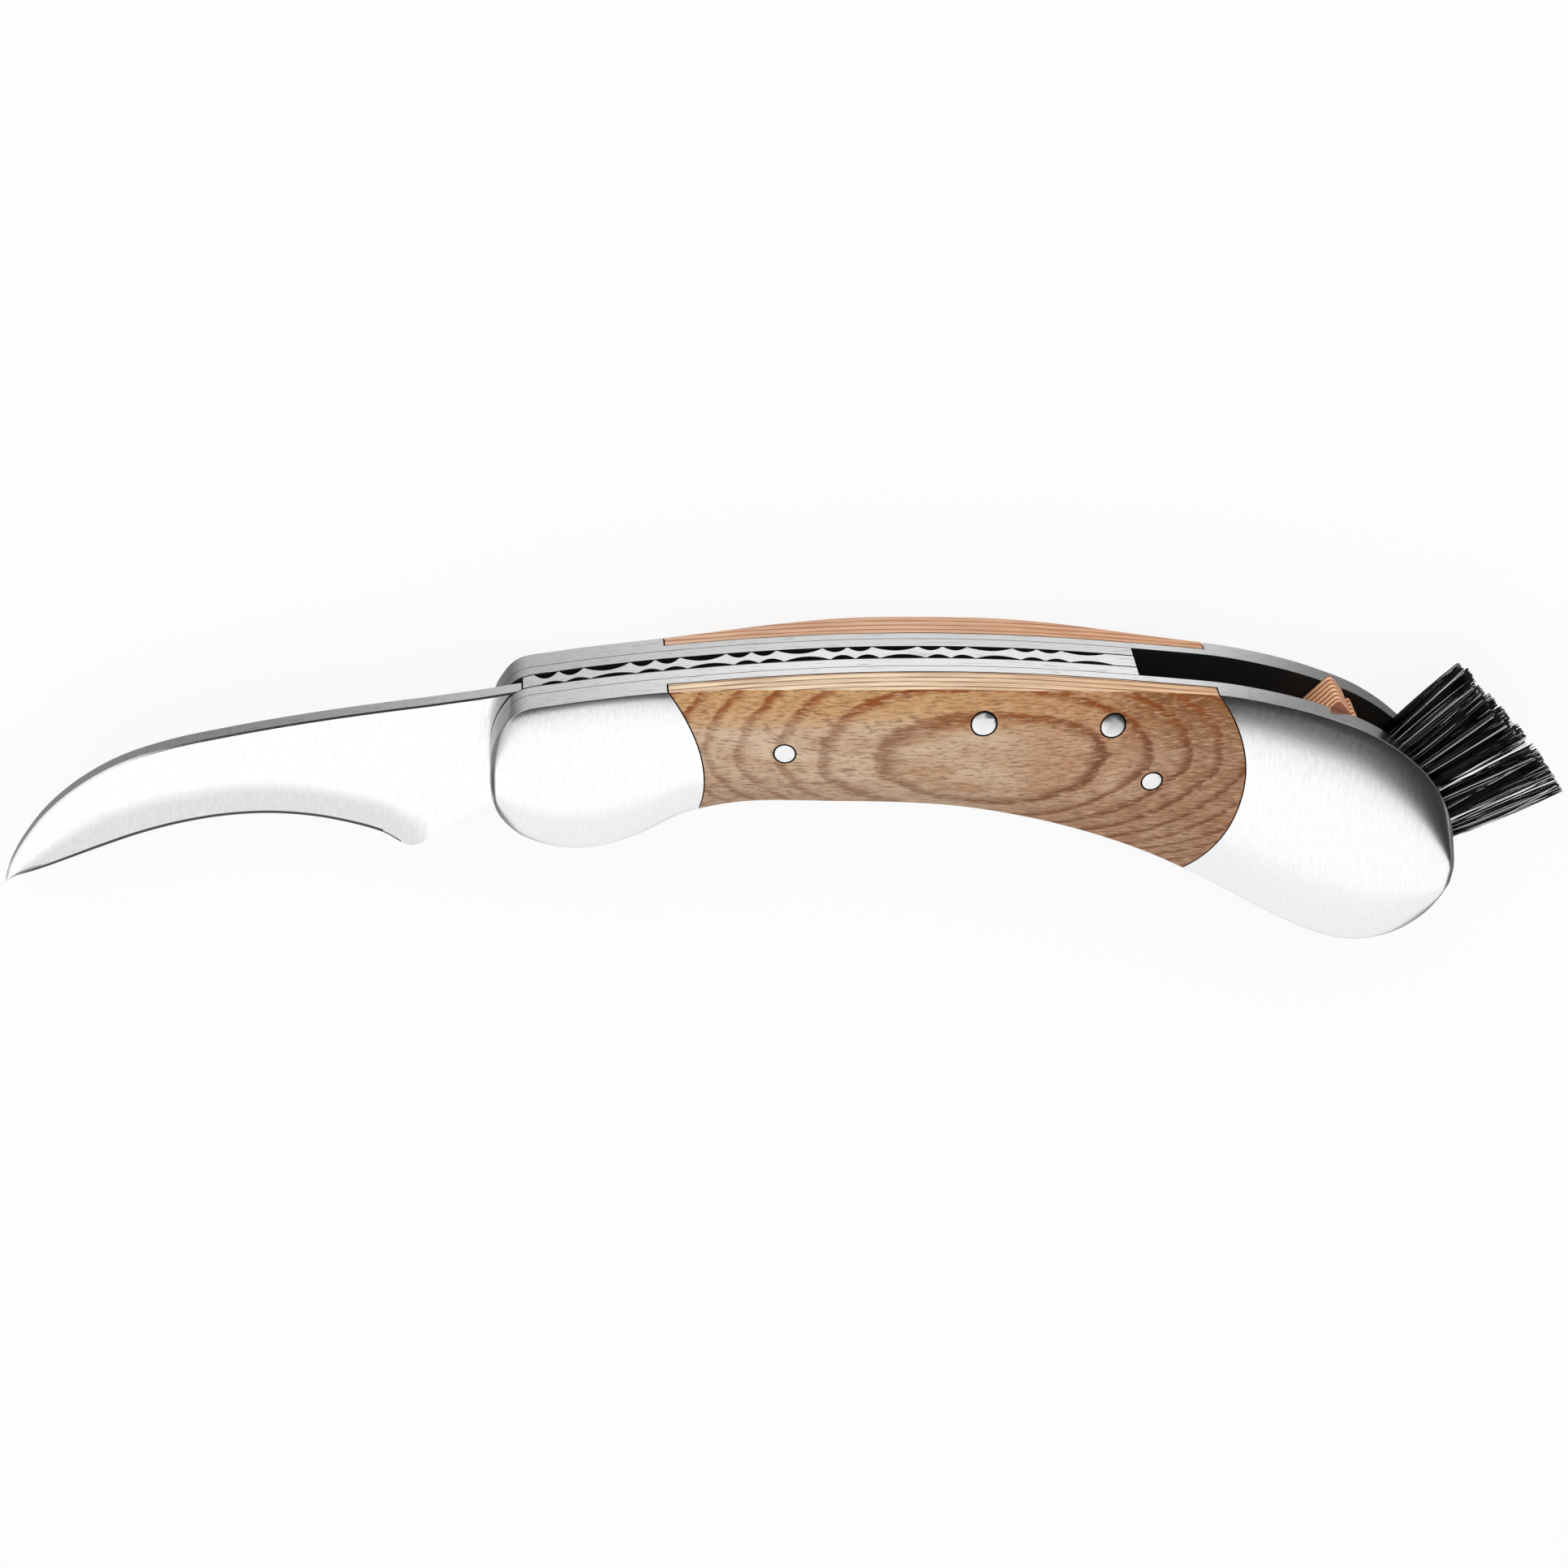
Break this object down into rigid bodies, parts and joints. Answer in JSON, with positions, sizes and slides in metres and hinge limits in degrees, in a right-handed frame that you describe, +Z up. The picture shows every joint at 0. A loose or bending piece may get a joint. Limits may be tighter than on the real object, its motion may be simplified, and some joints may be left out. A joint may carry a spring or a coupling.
{
  "type": "mushroom knife",
  "caption": "Folding mushroom knife with a hooked blade at one end, a fold-out cleaning brush at the other, and a curved handle with wooden scales.",
  "frame": {"origin": "bottom centre of the bounding box, with the knife lying on its left side, blade and brush folded out", "axes": "+X from the blade to the brush, +Y from the belly to the spine, +Z up through the thickness, out of the right side"},
  "size_m": [0.2032, 0.0416, 0.02],
  "materials": {
    "handle_steel": "satin ground steel",
    "blade_steel": "fine satin blade steel, hollow ground along the edge",
    "pin_steel": "bright dressed pins",
    "laminated_wood": "oiled laminated hardwood, smooth",
    "block_wood": "oiled laminated hardwood, smooth",
    "bristle": "coarse black hair"
  },
  "bodies": {
    "handle": {"back_spring": "handle_steel", "blade_pivot_pin": "pin_steel", "brush_pivot_pin": "pin_steel", "frame_left": "handle_steel", "frame_right": "handle_steel", "front_scale_pin_left": "pin_steel", "front_scale_pin_right": "pin_steel", "inner_liner_left": "handle_steel", "inner_liner_right": "handle_steel", "rear_scale_pin_left": "pin_steel", "rear_scale_pin_right": "pin_steel", "scale_left": "laminated_wood", "scale_right": "laminated_wood", "spring_pin_middle": "pin_steel", "spring_pin_rear": "pin_steel"},
    "blade": {"blade": "blade_steel"},
    "brush": {"brush_block": "block_wood", "bristles": "bristle"}
  },
  "joints": [
    {"name": "blade_hinge", "type": "hinge", "parent": "handle", "child": "blade", "pos_m": [-0.02933, 0.00587, 0.01], "axis": [0, 0, 1], "range_deg": [0, 168]},
    {"name": "brush_hinge", "type": "hinge", "parent": "handle", "child": "brush", "pos_m": [0.07507, 0.00057, 0.01], "axis": [0, 0, 1], "range_deg": [0, 145]}
  ]
}
